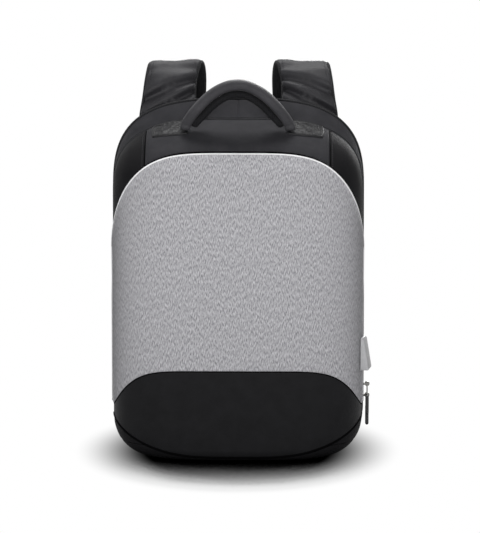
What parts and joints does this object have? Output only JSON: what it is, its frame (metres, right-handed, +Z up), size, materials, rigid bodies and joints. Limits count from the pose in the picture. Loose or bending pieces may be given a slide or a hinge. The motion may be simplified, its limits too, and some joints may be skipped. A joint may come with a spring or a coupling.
{
  "type": "laptop backpack",
  "caption": "Laptop backpack with a moulded grey front panel, clamshell main zip, USB charging port, padded shoulder straps and a carry handle.",
  "frame": {"origin": "on the floor under the base, on the centre line", "axes": "+Z up, +Y towards the wearer's back panel, so the grey front faces -Y and +X is the side with the USB port"},
  "size_m": [0.3118, 0.2186, 0.4599],
  "materials": {
    "heather_panel": "woven melange, matte",
    "black_nylon": "coated nylon, matte",
    "black_lower": "coated nylon, smooth matte",
    "mesh_padding": "spacer mesh, matte",
    "webbing": "woven webbing, matte",
    "lining": "polyester lining, satin",
    "moulded_foam": "moulded foam board, matte",
    "stiffener": "sheet plastic, matte",
    "patch": "embossed imitation leather, satin",
    "zip_coil": "nylon coil, satin",
    "zip_metal": "nickel plated, glossy",
    "pull_rubber": "moulded rubber, matte",
    "usb_grey": "moulded grey plastic, satin",
    "socket_metal": "plated sheet steel",
    "socket_plastic": "white moulded plastic",
    "buckle": "moulded acetal, satin"
  },
  "bodies": {
    "front_half": {"base_panel": "black_lower", "base_board": "stiffener", "moulded_shell": "moulded_foam", "front_panel": "heather_panel", "lower_front_panel": "black_lower", "top_yoke": "black_nylon", "left_side_panel": "black_nylon", "right_side_panel": "black_nylon", "front_zip_tape": "webbing", "front_zip_teeth": "zip_coil", "zip_end_stops": "zip_metal", "left_handle_patch": "patch", "right_handle_patch": "patch", "usb_housing": "usb_grey", "usb_socket_shell": "socket_metal", "usb_socket_tongue": "socket_plastic", "organiser_pocket": "lining", "power_bank_pocket": "lining", "hinge_strip": "black_nylon"},
    "back_half": {"rim_gusset": "black_nylon", "back_zip_tape": "webbing", "back_zip_teeth": "zip_coil", "back_panel": "mesh_padding", "frame_sheet": "stiffener", "left_back_pad": "mesh_padding", "right_back_pad": "mesh_padding", "lumbar_pad": "mesh_padding", "laptop_sleeve": "lining", "sleeve_strap": "webbing", "trolley_strap": "black_nylon", "strap_yoke": "black_nylon", "left_anchor_tab": "black_nylon", "right_anchor_tab": "black_nylon", "left_webbing": "webbing", "right_webbing": "webbing"},
    "left_shoulder_strap": {"left_strap": "black_nylon", "left_adjuster": "buckle", "left_webbing_tail": "webbing"},
    "right_shoulder_strap": {"right_strap": "black_nylon", "right_adjuster": "buckle", "right_webbing_tail": "webbing"},
    "carry_handle": {"handle_grip": "black_nylon", "handle_underside": "mesh_padding"},
    "upper_zip_slider": {"upper_slider": "zip_metal"},
    "lower_zip_slider": {"lower_slider": "zip_metal"},
    "upper_zip_pull": {"upper_pull_link": "zip_metal", "upper_pull_grip": "pull_rubber"},
    "lower_zip_pull": {"lower_pull_link": "zip_metal", "lower_pull_grip": "pull_rubber"}
  },
  "joints": [
    {"name": "back_open", "type": "hinge", "parent": "front_half", "child": "back_half", "pos_m": [0, 0.0604, 0.019], "axis": [-1, 0, 0], "range_deg": [0, 45]},
    {"name": "handle_tilt", "type": "hinge", "parent": "front_half", "child": "carry_handle", "pos_m": [0, -0.0105, 0.3956], "axis": [1, 0, 0], "range_deg": [-40, 75], "stiffness_Nm_per_rad": 0.3},
    {"name": "left_strap_swing", "type": "hinge", "parent": "back_half", "child": "left_shoulder_strap", "pos_m": [-0.082, 0.0699, 0.38], "axis": [1, 0, 0], "range_deg": [0, 12], "deforming": ["left_webbing"]},
    {"name": "right_strap_swing", "type": "hinge", "parent": "back_half", "child": "right_shoulder_strap", "pos_m": [0.082, 0.0699, 0.38], "axis": [1, 0, 0], "range_deg": [0, 12], "deforming": ["right_webbing"]},
    {"name": "upper_slider_travel", "type": "slide", "parent": "front_half", "child": "upper_zip_slider", "axis": [0, 0, 1], "range_m": [0, 0.22]},
    {"name": "lower_slider_travel", "type": "slide", "parent": "front_half", "child": "lower_zip_slider", "axis": [0, 0, 1], "range_m": [-0.008, 0]},
    {"name": "upper_pull_swing", "type": "hinge", "parent": "upper_zip_slider", "child": "upper_zip_pull", "pos_m": [0.1566, 0.0294, 0.076], "axis": [0, -1, 0], "range_deg": [0, 120]},
    {"name": "lower_pull_swing", "type": "hinge", "parent": "lower_zip_slider", "child": "lower_zip_pull", "pos_m": [0.1566, 0.0346, 0.061], "axis": [0, -1, 0], "range_deg": [0, 120]}
  ]
}
